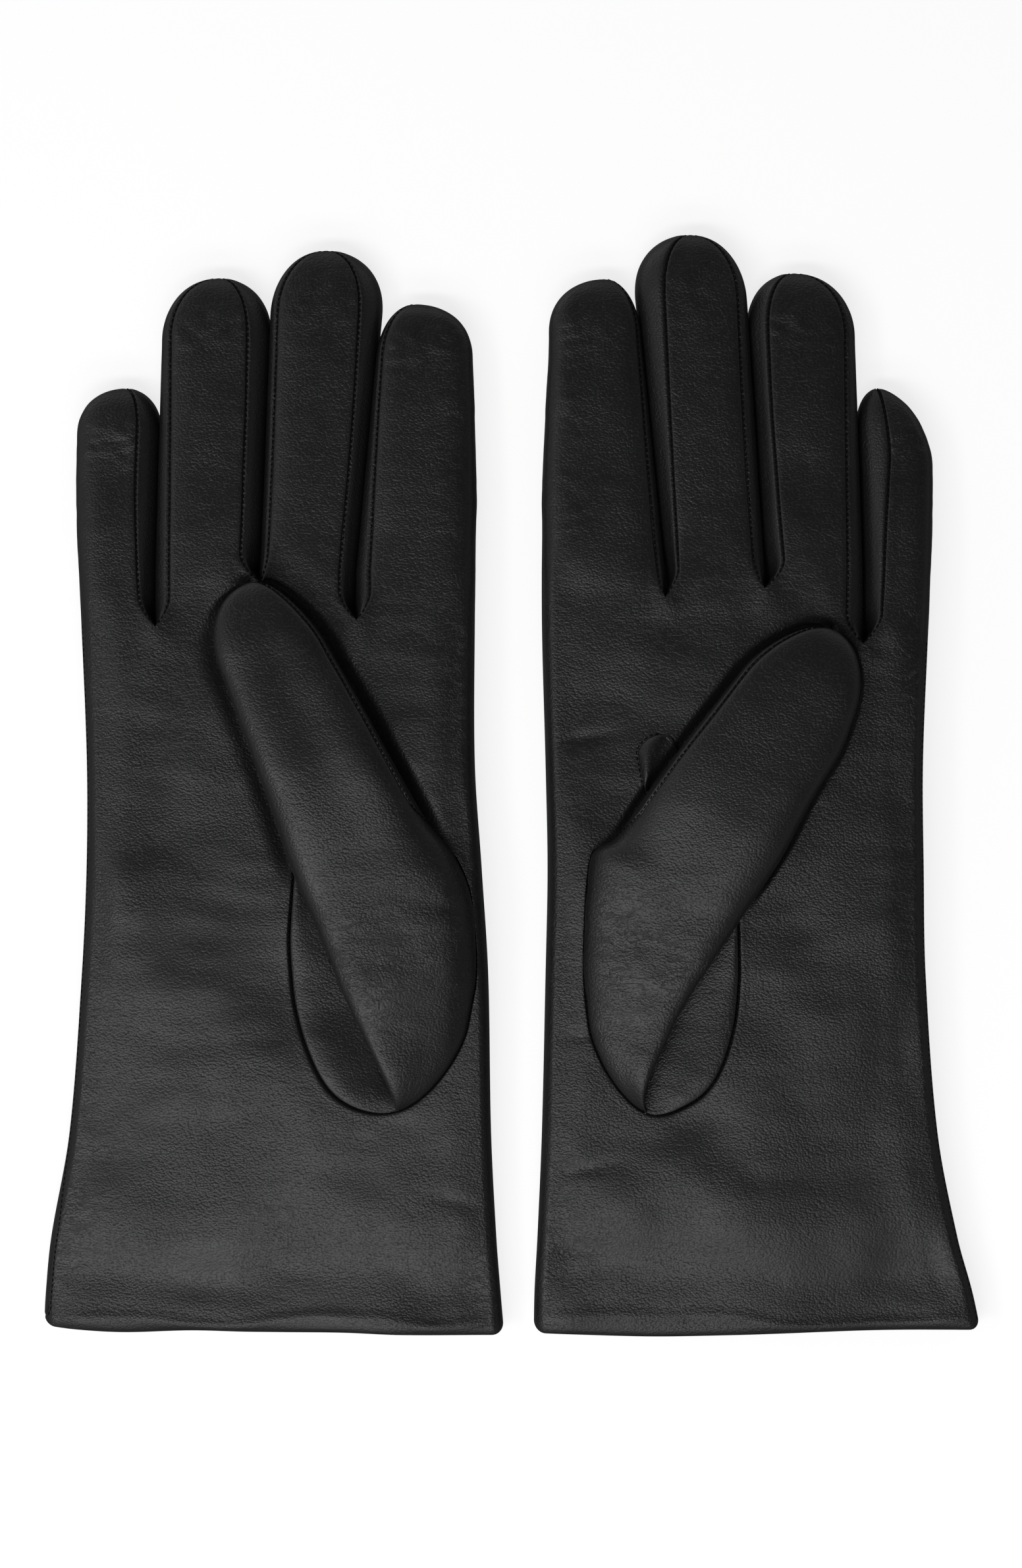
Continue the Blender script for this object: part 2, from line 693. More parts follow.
def closed_shell(points, faces, thickness):
    """The points and faces of a panel closed to a solid shell."""
    count = len(points)
    inner = points - grid_normals(points, faces) * thickness
    ends = np.stack([faces, np.roll(faces, -1, axis=1)], axis=-1).reshape(-1, 2)
    key = ends[:, 0].astype(np.int64) * count + ends[:, 1]
    back = ends[:, 1].astype(np.int64) * count + ends[:, 0]
    rim = ends[~np.isin(key, back)]
    walls = np.stack([rim[:, 1], rim[:, 0], rim[:, 0] + count, rim[:, 1] + count], axis=1)
    return np.concatenate([points, inner]), np.concatenate([faces, faces[:, ::-1] + count, walls])


def in_frame(glove, points):
    """Points of a glove's own frame in the shared frame, in metres."""
    return (points * [glove["mirror"], 1.0, 1.0] + [glove["centre"], 0.0, 0.0]) * MM


def make_piece(glove, name, grid, faces, material, thickness, crease=0.0):
    """A piece of a glove as a mesh object in the shared frame."""
    points = grid.reshape(-1, 3)
    crease = np.tile(np.broadcast_to(np.ravel(crease), len(points)), 2)
    points, faces = closed_shell(points, faces, thickness)
    world = in_frame(glove, points)
    if glove["mirror"] < 0:
        faces = faces[:, ::-1]
    name = f"{glove['side']}_{name}"
    mesh = bpy.data.meshes.new(name)
    mesh.from_pydata(world.tolist(), [], faces.tolist())
    mesh.shade_smooth()
    mesh.set_sharp_from_angle(angle=SHARP_ANGLE)
    rest = mesh.attributes.new("rest", "FLOAT_VECTOR", "POINT")
    rest.data.foreach_set("vector", world.astype(np.float32).ravel())
    creased = mesh.attributes.new("crease", "FLOAT", "POINT")
    creased.data.foreach_set("value", crease.astype(np.float32))
    mesh.materials.append(material)
    piece = bpy.data.objects.new(name, mesh)
    bpy.context.scene.collection.objects.link(piece)
    return piece


def dress(glove, nodes):
    """Say which nodes of the frame the piece stands for."""
    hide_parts(*[f"{glove['side']}_{name}" for name in nodes])


print("a seam dips by", LIP_DIP, "mm")

# %% [markdown]
# ## Leather and lining finishes
#
# Nappa leather has a fine pebble grain: small rounded cells with furrows between them. The distance
# to the nearest point of a cellular noise makes the rounded cells and their furrows. A softer noise
# makes the cells uneven, and thin lines where another noise crosses its middle give creases, which
# show only where the leather is creased. The grain is a node group with its scale as an input, so
# another finish can use it at its own scale.

# %% Grain group
GRAIN_CELL = 0.00055
GRAIN_SHIFT = 0.0004
GRAIN_STRETCH = (0.9, 1.1, 1.0)
CREASE_STRETCH = (0.45, 1.0, 1.0)
CREASE_SHARPNESS = 34.0
CREASE_DEPTH = 0.7
TOOTH = 0.12
BEND_NOISE = dict(Scale=450.0, Detail=2.0)
FINE_NOISE = dict(Scale=2600.0, Detail=3.0, Roughness=0.6)
PATCH_NOISE = dict(Scale=38.0, Detail=3.0, Roughness=0.55)
CREASE_NOISE = dict(Scale=330.0, Detail=5.0, Roughness=0.55, Distortion=0.4)
FURROW_REACH = (0.35, 0.8)
PATCH_REACH = (0.35, 0.65)
PEBBLE_HEIGHT = (-0.5, -1.1)
VECTOR = "ShaderNodeVectorMath"
NOISE = "ShaderNodeTexNoise"


def grain_group():
    tree = bpy.data.node_groups.new("pebble_grain", "ShaderNodeTree")
    sockets = (
        ("Place", "INPUT", "Vector"),
        ("Cells per metre", "INPUT", "Float"),
        ("Crease", "INPUT", "Float"),
        ("Height", "OUTPUT", "Float"),
        ("Furrow", "OUTPUT", "Float"),
        ("Patch", "OUTPUT", "Float"),
    )
    for name, way, kind in sockets:
        tree.interface.new_socket(name, in_out=way, socket_type="NodeSocket" + kind)
    place, scale, crease = node(tree, "NodeGroupInput").outputs[:3]

    bend = node(tree, NOISE, Vector=place, **BEND_NOISE)
    shift = (GRAIN_SHIFT, GRAIN_SHIFT, GRAIN_SHIFT)
    bent = calc(tree, "MULTIPLY_ADD", bend.outputs["Color"], shift, place, kind=VECTOR)
    stretched = calc(tree, "MULTIPLY", bent, GRAIN_STRETCH, kind=VECTOR)
    cells = node(tree, "ShaderNodeTexVoronoi", {"feature": "F1"}, Vector=stretched, Scale=scale)
    distance = cells.outputs["Distance"]
    furrow = remap(tree, distance, FURROW_REACH, (0.0, 1.0), "SMOOTHSTEP")
    fine = node(tree, NOISE, Vector=place, **FINE_NOISE)
    patch = node(tree, NOISE, Vector=place, **PATCH_NOISE).outputs[0]

    crossing = calc(tree, "MULTIPLY", place, CREASE_STRETCH, kind=VECTOR)
    lines = node(tree, NOISE, Vector=crossing, **CREASE_NOISE)
    off = calc(tree, "ABSOLUTE", calc(tree, "SUBTRACT", lines.outputs[0], 0.5))
    wide = calc(tree, "MINIMUM", calc(tree, "MULTIPLY", off, CREASE_SHARPNESS), 1.0)
    creased = calc(tree, "MULTIPLY", calc(tree, "SUBTRACT", 1.0, wide), crease)

    uneven = remap(tree, patch, PATCH_REACH, PEBBLE_HEIGHT)
    pebble = calc(tree, "MULTIPLY", calc(tree, "POWER", distance, 2.0), uneven)
    grain = calc(tree, "ADD", pebble, calc(tree, "MULTIPLY", fine.outputs[0], TOOTH))
    height = calc(tree, "SUBTRACT", grain, calc(tree, "MULTIPLY", creased, CREASE_DEPTH))
    node(tree, "NodeGroupOutput", Height=height, Furrow=furrow, Patch=patch)
    return tree


pebble_grain = grain_group()
print("grain cells per metre:", round(1.0 / GRAIN_CELL))

# %% [markdown]
# The leather itself is almost black. Its furrows are a little rougher than the tops of the cells,
# and broad patches differ slightly in colour and gloss, as a hand-finished skin does.

# %% Leather
LEATHER_DARK = (0.007, 0.007, 0.0073, 1.0)
LEATHER_LIGHT = (0.012, 0.012, 0.0124, 1.0)
TOP_TO_FURROW = (0.36, 0.46)
PATCH_GLOSS = (-0.05, 0.05)
GRAIN_STRENGTH = 0.85
GRAIN_DEPTH = 0.00012


def attribute(tree, name, output):
    return node(tree, "ShaderNodeAttribute", {"attribute_name": name}).outputs[output]


def mixed_colour(tree, factor, low, high):
    made = node(tree, "ShaderNodeMix", {"data_type": "RGBA"}, Factor=factor, A=low, B=high)
    return made.outputs["Result"]


def add_bump(tree, shader, height, strength, depth):
    bump = node(tree, "ShaderNodeBump", Strength=strength, Distance=depth, Height=height)
    feed(tree, shader.inputs["Normal"], bump.outputs["Normal"])


def leather_finish():
    paint, tree, shader = new_paint("black_nappa", Specular_IOR_Level=0.5)
    group = node(tree, "ShaderNodeGroup", {"node_tree": pebble_grain}, Cells_per_metre=1.0 / GRAIN_CELL)
    feed(tree, group.inputs["Place"], attribute(tree, "rest", "Vector"))
    feed(tree, group.inputs["Crease"], attribute(tree, "crease", "Fac"))
    grain = group.outputs
    colour = mixed_colour(tree, grain["Patch"], LEATHER_DARK, LEATHER_LIGHT)
    feed(tree, shader.inputs["Base Color"], colour)
    furrow_gloss = remap(tree, grain["Furrow"], (0.0, 1.0), TOP_TO_FURROW)
    patch_gloss = remap(tree, grain["Patch"], (0.0, 1.0), PATCH_GLOSS)
    feed(tree, shader.inputs["Roughness"], calc(tree, "ADD", furrow_gloss, patch_gloss))
    add_bump(tree, shader, grain["Height"], GRAIN_STRENGTH, GRAIN_DEPTH)
    return paint


black_nappa = leather_finish()


def leather_piece(glove, name, grid, faces, crease=0.0):
    return make_piece(glove, name + "_leather", grid, faces, black_nappa, LEATHER_T, crease)


print("leather:", black_nappa.name)

# %% [markdown]
# Thread and lining are simple: a twisted black thread, and a fine rib knit whose loops run along
# the glove. The knit reads its place at rest too, so its ribs follow each finger.

# %% Thread and knit
TWIST_NOISE = dict(Scale=5200.0, Detail=2.0)
THREAD_DARK = 0.0015
THREAD_LIGHT = 0.006
KNIT_WAVES = (("X", 260.0, 0.6), ("Y", 330.0, 1.2))
KNIT_DARK = (0.008, 0.008, 0.009, 1.0)
KNIT_LIGHT = (0.035, 0.035, 0.038, 1.0)
KNIT_STRENGTH = 0.7
KNIT_DEPTH = 0.0004


def thread_finish():
    paint, tree, shader = new_paint("black_thread", Roughness=0.85, Specular_IOR_Level=0.1)
    place = node(tree, "ShaderNodeTexCoord").outputs["Object"]
    twist = node(tree, NOISE, Vector=place, **TWIST_NOISE).outputs[0]
    colour = mixed_colour(tree, twist, grey(THREAD_DARK), grey(THREAD_LIGHT))
    feed(tree, shader.inputs["Base Color"], colour)
    return paint


def knit_finish():
    paint, tree, shader = new_paint("dark_knit", Roughness=0.85, Sheen_Weight=0.4)
    place = attribute(tree, "rest", "Vector")
    ribs, loops = [
        node(
            tree,
            "ShaderNodeTexWave",
            {"bands_direction": axis},
            Vector=place,
            Scale=scale,
            Distortion=distortion,
            Detail=1.0,
        ).outputs["Fac"]
        for axis, scale, distortion in KNIT_WAVES
    ]
    height = calc(tree, "MULTIPLY", ribs, loops)
    colour = mixed_colour(tree, height, KNIT_DARK, KNIT_LIGHT)
    feed(tree, shader.inputs["Base Color"], colour)
    add_bump(tree, shader, height, KNIT_STRENGTH, KNIT_DEPTH)
    return paint


black_thread = thread_finish()
dark_knit = knit_finish()


def knit_piece(glove, name, grid, thickness):
    faces = grid_faces(grid, turned=True, ring=True)
    return make_piece(glove, name + "_knit", grid, faces, dark_knit, thickness)


print("finishes:", [paint.name for paint in (black_nappa, black_thread, dark_knit)])

# %% [markdown]
# ## Fingers
#
# Seen from its end, a gloved finger is a rounded box. Its front and back are strips of leather, and
# narrow strips called fourchettes close its sides. In the photo the front runs almost to one edge
# of the finger and stops well short of the other, so a fourchette shows beside each gap. Front and
# palm are one skin: the front's first row is exactly the palm's last one, and the finger's own
# rounding fades in from there. The seams open from a point at the crotch.

# %% Form of a finger
FINGER_POWER = 3.6
FINGER_COLUMNS = 49
SHARE_STEPS = 4001
BODY_ROWS = 84
CAP_ROWS = 26
ROW_CROWD = 1.08
CAP_TURN = 88.6
CAP_POWER = 2.1
EDGE_CROWD = 5.0
EDGE_CROWD_TURN = 0.02
ROOT_BLEND = 14.0
SEAM_OPENS = 7.5
BACK_SEAM_LOW = -0.95
BACK_SEAM_HIGH = 0.68
FINGER_SECTION = (12.0, 6.5)
finger_loop = loop_table(FINGER_POWER, *FINGER_SECTION)


def strip_columns(f):
    """Shares across a finger's strip, close together at seams and round a folded edge."""
    turns = np.linspace(0.0, 0.5, SHARE_STEPS)
    place, _ = on_loop(finger_loop, turns)
    folded = {0: place < 0, 3: place > 0}.get(f, False)
    place = np.where(folded, place, 1.0 - 4.0 * turns)
    density = 1.0 + EDGE_CROWD * np.exp(-np.minimum(turns, 0.5 - turns) / EDGE_CROWD_TURN)
    count = np.cumsum(density) - density[0]
    wanted = np.interp(np.linspace(0.0, count[-1], FINGER_COLUMNS), count, place)
    if f in (1, 2):
        return (1.0 - wanted) / 2.0
    return (wanted[::-1] + 1.0) / 2.0


strip_shares = [strip_columns(f) for f in range(4)]


def round_end(y, tip, size):
    length, power = size
    return arch(np.clip((y - tip + length) / length, 0.0, 1.0), power)


def finger_section(glove, f, y):
    """Middle, half width, height and closing share of finger f at y."""
    low, high = hand_edge(glove, y, -1), hand_edge(glove, y, 1)
    if f > 0:
        low = gap_line(glove, f - 1, y) + half_gap(glove, f - 1, y)
    if f < 3:
        high = gap_line(glove, f, y) - half_gap(glove, f, y)
    tip_y, tip_u = glove["tip_y"][f], glove["tip_u"][f]
    close_low = round_end(y, tip_y, glove["round_low"][f])
    close_high = round_end(y, tip_y, glove["round_high"][f])
    low, high = lerp(tip_u, low, close_low), lerp(tip_u, high, close_high)
    height = lerp(HAND_H[-1], TIP_H, smooth((y - KNUCKLE_Y) / (tip_y - KNUCKLE_Y)))
    return (low + high) / 2, (high - low) / 2, height, (close_low + close_high) / 2


def root_heights(glove, f):
    """Where finger f starts on its index side and on its little-finger side."""
    return glove["crotch_y"][max(f - 1, 0)], glove["crotch_y"][min(f, 2)]


def seam_place(glove, f, y, side, face):
    """Place across finger f of its front or back seam, from -1 to 1."""
    if (f == 0 and side < 0) or (f == 3 and side > 0):
        return np.full_like(y, float(side))
    if face < 0:
        return np.full_like(y, BACK_SEAM_LOW if side < 0 else BACK_SEAM_HIGH)
    root = root_heights(glove, f)[0 if side < 0 else 1]
    knots = glove["seam_low" if side < 0 else "seam_high"][f]
    return curve(SEAM_SHARES, knots, np.clip((y - root) / (glove["tip_y"][f] - root), 0.0, 1.0))


def row_shares(root, tip, cap):
    """Shares of a finger's length, closer together on its round end."""
    start = 1.0 - cap / (tip - root)
    body = np.linspace(0.0, 1.0, BODY_ROWS, endpoint=False) ** ROW_CROWD * start
    turn = np.radians(np.linspace(0.0, CAP_TURN, CAP_ROWS))
    return np.concatenate([body, start + (1.0 - start) * np.sin(turn) ** (2 / CAP_POWER)])


def finger_strip(glove, f, face):
    """A finger's front (face 1) or back (face -1): points, places across and root heights."""
    root_low, root_high = root_heights(glove, f)
    share = strip_shares[f][None, :]
    root = lerp(root_low, root_high, smooth(share))
    tip = glove["tip_y"][f]
    rows = row_shares((root_low + root_high) / 2, tip, glove["round_low"][f][0])[:, None]
    y = lerp(root, tip, rows)
    middle, half_width, height, close = finger_section(glove, f, y)
    low, high = seam_place(glove, f, y, -1, face), seam_place(glove, f, y, 1, face)
    start = np.clip((y - root) / SEAM_OPENS, 0.0, 1.0)
    opened = np.sin(np.pi / 2 * start) if face > 0 else smooth(start)
    place = lerp(2.0 * share - 1.0, lerp(low, high, share), opened)
    u = middle + half_width * place
    own = height / 2 + face * height / 2 * close * arch(place, FINGER_POWER)
    z = lerp(hand_surface(glove, u, y, face), own, smooth((y - root) / ROOT_BLEND))
    z[-1] = height[-1] / 2
    return np.stack([u, y, z], axis=-1), place, root


print("rows along a finger:", BODY_ROWS + CAP_ROWS)

# %% [markdown]
# A strip gets its look in a few steps: the seam lips, a slow unevenness, small cross folds, and
# crinkles near its tip and along the index edge. Each is a move along the surface's own normal, so
# it works on the rounded end as well. The creases' strength is worked out at the same time.

# %% Leather on a finger
LIP_STARTS = 3.0
SEWN_RIPPLES = ((0.24, 15.0, 1.3), (0.06, 5.0, 5.1))
CROSS_FOLDS = (0.04, 4.0, 8.8)
CROSS_STRETCH = np.array([0.45, 1.5, 1.0])
FULL_FROM_ROOT = 22.0
FULL_FROM_TIP = 4.0
BACK_UNEVEN = 0.35
CRINKLE = (0.26, 2.6, 12.7)
CRINKLE_STRETCH = np.array([0.7, 1.2, 1.0])
CRINKLE_PLACE = 12.0
CRINKLE_WIDTH = 6.0
EDGE_CRINKLE = 0.6
EDGE_CRINKLE_PLACE = -0.55
EDGE_CRINKLE_WIDTH = 0.3
CREASE_LEAST = 0.03
ROOT_CREASE = (0.35, 0.0, 12.0)
TIP_CREASE = (0.15, 16.0, 9.0)


def sewn(grid, faces, low, high, fade, amount, crinkle=0.0):
    """The grid with seam lips at its first and last columns, and with uneven leather between.

    The lips grow with fade, and the unevenness with amount.
    """
    lift = crinkle + amount * ripples(grid, *SEWN_RIPPLES)
    lift = lift + amount * ripples(grid * CROSS_STRETCH, CROSS_FOLDS)
    for edge, wanted in ((0, low), (-1, high)):
        if wanted:
            lift = lift + fade * seam_lip(edge_distance(grid, edge))
    return grid + grid_normals(grid, faces) * lift[..., None]


def finger_fades(glove, f, grid, root):
    """Distances from root and tip, and the fades of seam lips, body and end along a finger."""
    above, from_tip = grid[..., 1] - root, glove["tip_y"][f] - grid[..., 1]
    lips = smooth(above / LIP_STARTS)
    lips[-1] = 0.0
    return above, from_tip, lips, smooth(above / FULL_FROM_ROOT), smooth(from_tip / FULL_FROM_TIP)


def finger_piece(glove, f, face):
    grid, place, root = finger_strip(glove, f, face)
    faces = grid_faces(grid, turned=face < 0)
    above, from_tip, lips, body, end = finger_fades(glove, f, grid, root)
    amount = body * end * (1.0 if face > 0 else BACK_UNEVEN)
    crinkled = hump(from_tip, CRINKLE_PLACE, CRINKLE_WIDTH) * end
    if f == 0:
        edge = EDGE_CRINKLE * hump(place, EDGE_CRINKLE_PLACE, EDGE_CRINKLE_WIDTH) * body
        crinkled = np.maximum(crinkled, edge)
    crinkle = crinkled * ripples(grid * CRINKLE_STRETCH, CRINKLE) * inside(place)
    shaped = sewn(grid, faces, f > 0, f < 3, lips, amount, crinkle)
    crease = CREASE_LEAST + 0.0 * above
    for distance, (strength, middle, width) in ((above, ROOT_CREASE), (from_tip, TIP_CREASE)):
        crease = crease + strength * hump(distance, middle, width)
    name = f"{FINGERS[f]}_{'front' if face > 0 else 'back'}"
    return leather_piece(glove, name, shaped, faces, crease), grid, place


def bend_with_finger(piece):
    """The piece follows the hand up to the finger's hinge and the finger from a little beyond."""
    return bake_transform(piece)


finger_grids = {}
for glove in GLOVES:
    for f, finger in enumerate(FINGERS):
        for face, part in ((1, "front"), (-1, "back")):
            piece, grid, place = finger_piece(glove, f, face)
            finger_grids[glove["side"], f, face] = (grid, place)
            bend_with_finger(piece)
            dress(glove, [f"{finger}_{part}"])
print("finger strips:", len(finger_grids))

# %% [markdown]
# A fourchette runs round the side of a finger from the front's seam to the back's seam. It uses
# the same section, and takes over the heights of the two strips at its edges, so the three pieces
# always meet. Neighbouring fingers lie against each other, so the narrow gap between them slants
# and no floor shows through it.

# %% Fourchettes
FOURCHETTE_COLUMNS = 27
FOURCHETTE_POWER = 2.8
FOURCHETTE_UNEVEN = 0.3
GAP_SLANT = 0.9
GAP_STEEPNESS = 1.6
fourchette_loop = loop_table(FOURCHETTE_POWER, *FINGER_SECTION)


def fourchette_piece(glove, f, side):
    column = 0 if side < 0 else -1
    front, front_place = finger_grids[glove["side"], f, 1]
    back, back_place = finger_grids[glove["side"], f, -1]
    y = front[:, column, 1][:, None]
    middle, half_width, height, close = finger_section(glove, f, y)
    top = loop_turn(fourchette_loop, np.abs(front_place[:, column]))[:, None]
    low = loop_turn(fourchette_loop, np.abs(back_place[:, column]))[:, None]
    share = np.linspace(0.0, 1.0, FOURCHETTE_COLUMNS)[None, :]
    place, lift = on_loop(fourchette_loop, lerp(top, -low, share))
    slant = GAP_SLANT * np.clip(GAP_STEEPNESS * lift, -1.0, 1.0)
    slant = slant * smooth(4.0 * share * (1.0 - share)) * close
    u = middle + side * half_width * place + slant
    z = height / 2 + height / 2 * close * lift
    to_front, to_back = front[:, column, 2:] - z[:, :1], back[:, column, 2:] - z[:, -1:]
    z = z + lerp(to_front, to_back, share)
    grid = np.stack([u, np.broadcast_to(y, u.shape), z], axis=-1)
    faces = grid_faces(grid, turned=side < 0)
    _, _, lips, body, end = finger_fades(glove, f, grid, grid[:1, :, 1])
    shaped = sewn(grid, faces, True, True, lips, FOURCHETTE_UNEVEN * body * end)
    name = f"{FINGERS[f]}_fourchette_{FINGERS[f + side]}_side"
    piece = leather_piece(glove, name, shaped, faces)
    bend_with_finger(piece)
    dress(glove, [name])
    return piece


fourchettes = [
    fourchette_piece(glove, f, side)
    for glove in GLOVES
    for f in range(4)
    for side in (-1, 1)
    if 0 <= f + side <= 3
]
print("fourchettes:", len(fourchettes))

# %% [markdown]
# ## Palm and back
#
# The back is a plain grid from the cuff to the finger roots. The palm has the thumb's opening in
# it, and a grid would cut that seam into steps. So its lower part is made of rings that start on
# the seam and end on the palm's outline, and a grid continues from there to the fingers. On the
# right-hand glove the side seam climbs onto the palm near the cuff.

# %% Palm and back
SPLIT_Y = 0.0
PALM_ROWS = 58
BACK_ROWS = 90
ROW_SPREAD = 1.25
RINGS = 66
SIDE_POINTS = 96
CUFF_POINTS = 110
CUFF_ROLL = 1.6
CUFF_LENGTH = 2.4
CLIMB_STARTS = -84.0
CLIMB_LENGTH = 26.0
CLIMB_COLUMNS = 8
LEAST_CLIMB = 0.08
CROTCH_CREASE = (0.4, 5.0, 0.8, 14.0)
EDGE_CREASE = (0.5, 0.0, 10.0)
PATCHY_CREASE = (0.5, 30.0, 17.0)


def root_row(glove):
    """u and y of the row where the palm ends and the fingers start."""
    row = np.concatenate([finger_grids[glove["side"], f, 1][0][0] for f in range(4)])
    return row[:, 0], row[:, 1]


def side_seam_inset(glove, y, part=1.0):
    """How far the climbing side seam lies inside the little-finger edge, mm."""
    fade = smooth((CLIMB_STARTS - y) / CLIMB_LENGTH)
    fade = fade * smooth((y - CUFF_Y - CORNER_RADIUS) / CORNER_RADIUS)
    turn = np.radians(glove["side_seam_climb"]) * np.maximum(fade, LEAST_CLIMB) * part
    return ROLL_WIDTH * (1 - np.cos(turn))


def hand_columns(glove, y_start, rows):
    """Grid of u and y from y_start, or from the cuff, up to the finger roots."""
    u_root, y_root = root_row(glove)
    place = across(glove, u_root, y_root)
    share = (1.0 - (1.0 - np.linspace(0.0, 1.0, rows)) ** ROW_SPREAD)[:, None]
    first = cuff_line(glove, place) if y_start is None else y_start
    y = lerp(first, y_root, share)
    return lerp(hand_edge(glove, y, -1), hand_edge(glove, y, 1), (place + 1) / 2), y


def palm_outline(glove):
    """Outline of the palm's lower part, clockwise from its upper index corner."""
    u_split, y_split = hand_columns(glove, SPLIT_Y, 2)
    down, up = [
        np.linspace(SPLIT_Y, float(cuff_line(glove, side)), SIDE_POINTS + 2)[1:-1]
        for side in (1.0, -1.0)
    ]
    up = up[::-1]
    little = hand_edge(glove, down, 1) - side_seam_inset(glove, down)
    along = np.sin(np.linspace(np.pi / 2, -np.pi / 2, CUFF_POINTS))
    cuff = cuff_line(glove, along)
    low, high = hand_edge(glove, cuff, -1), hand_edge(glove, cuff, 1) - side_seam_inset(glove, cuff)
    cuff_u = lerp(low, high, (along + 1) / 2)
    u = np.concatenate([u_split[0], little, cuff_u, hand_edge(glove, up, -1)])
    return np.stack([u, np.concatenate([y_split[0], down, cuff, up])], axis=1)


def seam_behind(glove, outline):
    """The point of the U-shaped seam straight between its middle and each outline point."""
    seam = palm_seam(glove)
    middle = seam.mean(axis=0)
    arm, reach = seam - middle, outline - middle
    angle, radius = np.arctan2(arm[:, 1], arm[:, 0]), np.linalg.norm(arm, axis=1)
    wanted = np.arctan2(reach[:, 1], reach[:, 0])
    length = np.interp(wanted, angle, radius, period=2 * np.pi)
    return middle + reach / np.linalg.norm(reach, axis=1, keepdims=True) * length[:, None]


def cuff_drop(glove, u, y):
    """The cuff's folded edge turns inwards over its last few millimetres."""
    left = np.clip((y - cuff_line(glove, across(glove, u, y))) / CUFF_LENGTH, 0.0, 1.0)
    return CUFF_ROLL * (1.0 - arch(1.0 - left, 2.0)) * hand_rise(from_edge(glove, u, y))


def palm_crease(glove, u, y):
    """How creased the palm is: below the crotches, along its edges and in patches."""
    strength, below, squash, width = CROTCH_CREASE
    mask = CREASE_LEAST
    for gap, crotch in zip(glove["gap_root"], glove["crotch_y"]):
        reach = np.hypot(u - gap, (y - crotch + below) * squash)
        mask = mask + strength * hump(reach, 0.0, width)
    mask = mask + EDGE_CREASE[0] * hump(from_edge(glove, u, y), *EDGE_CREASE[1:])
    flat = np.stack([u + glove["centre"], y, 0 * y], axis=-1)
    return mask + PATCHY_CREASE[0] * np.clip(ripple(flat, *PATCHY_CREASE[1:]), 0.0, 1.0)


def palm_piece(glove):
    outline = palm_outline(glove)
    seam = seam_behind(glove, outline)
    share = (0.5 - 0.5 * np.cos(np.pi * np.linspace(0.0, 1.0, RINGS)))[:, None, None]
    rings = lerp(seam, outline, share)
    u, y = rings[..., 0], rings[..., 1]
    lip = seam_lip(np.linalg.norm(rings - seam, axis=2))
    lower = on_hand(glove, u, y, 1, lip - cuff_drop(glove, u, y))
    upper = on_hand(glove, *hand_columns(glove, SPLIT_Y, PALM_ROWS))[1:]
    points = np.concatenate([lower.reshape(-1, 3), upper.reshape(-1, 3)])
    split = np.arange(upper.shape[1])[None, :] + len(outline) * (RINGS - 1)
    numbers = np.arange(upper[..., 0].size).reshape(upper.shape[:2]) + lower[..., 0].size
    faces = [grid_faces(lower, ring=True), quads(np.concatenate([split, numbers]))]
    crease = palm_crease(glove, points[:, 0], points[:, 1])
    faces = np.concatenate(faces)
    return leather_piece(glove, "palm", points, faces, crease)


def back_piece(glove):
    u, y = hand_columns(glove, None, BACK_ROWS)
    grid = on_hand(glove, u, y, -1, cuff_drop(glove, u, y))
    if glove["side_seam_climb"] > 0:
        part = np.linspace(0.0, 1.0, CLIMB_COLUMNS + 1)[None, 1:]
        u = hand_edge(glove, y[:, -1:], 1) - side_seam_inset(glove, y[:, -1:], part)
        y = np.broadcast_to(y[:, -1:], u.shape)
        grid = np.concatenate([grid, on_hand(glove, u, y, 1, -cuff_drop(glove, u, y))], axis=1)
    return leather_piece(glove, "back", grid, grid_faces(grid, turned=True))


for glove in GLOVES:
    for part, maker in (("palm", palm_piece), ("back", back_piece)):
        piece = maker(glove)
        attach(piece, f"{glove['side']}_hand")
        dress(glove, [f"{part}_panel"])
        print(piece.name, "faces:", len(piece.data.polygons))

# %% [markdown]
# ## Thumb
#
# The thumb's upper leather is one piece from the foot of the U-shaped seam to the tip. Low down it
# rises like a wedge from the seam to a fold that tucks under, which makes the deep dark valley
# beside it. Further up it is the upper half of a tube. Each section is walked round in turns: 0 on
# the fold's side, a half turn on the index side, and back underneath.

# %% Thumb leather
THUMB_ROWS = 170
THUMB_COLUMNS = 72
THUMB_POWER = 3.6
THUMB_SECTION = (20.0, 11.0)
THUMB_AIR = 0.9
TUBE_STARTS = 0.4
TUBE_FULL = 0.76
ROUND_STARTS = 0.08
ROUND_FULL = 0.7
SEAM_PLACE = 0.93
SEAM_CLIMBS = (0.44, 0.1)
FOLD_LEVEL = 2.6
FOLD_POWER = 5.0
FOLD_FULL = 0.09
FOLD_FROM = -0.2
OVERLAP = 0.06
TUCK = 0.14
TUCK_LEFT = 1.2 * OVERLAP
TUCK_ENDS = (0.36, 0.08)
VALLEY = 1.0
WEDGE_POWER = 0.4
TROUGH = 0.5
TROUGH_WIDTH = 0.4
TROUGH_LENGTH = (0.7, 0.17)
FIRST_SHARE = 0.0012
LAST_SHARE = 1.0 - 1.6e-4
SEAM_CROWD = 1.6
ROWS_CROWD = 1.8
FOOT_FADE = 0.05
TIP_FADE = 0.03
LIP_FADE = 0.004
THUMB_FOLDS = ((0.22, 8.0, 2.2), (0.07, 2.8, 6.4))
FOLDS_ACROSS = 0.4
FOLDS_LEAST = 0.35
FOLDS_AT = ((1.0, 0.3, 0.16), (0.5, 0.88, 0.08))
BALL_CREASE = (0.7, 0.28, 0.14)
THUMB_TIP_CREASE = (0.15, 0.9, 0.06)
THUMB_CREASE_LEAST = 0.05
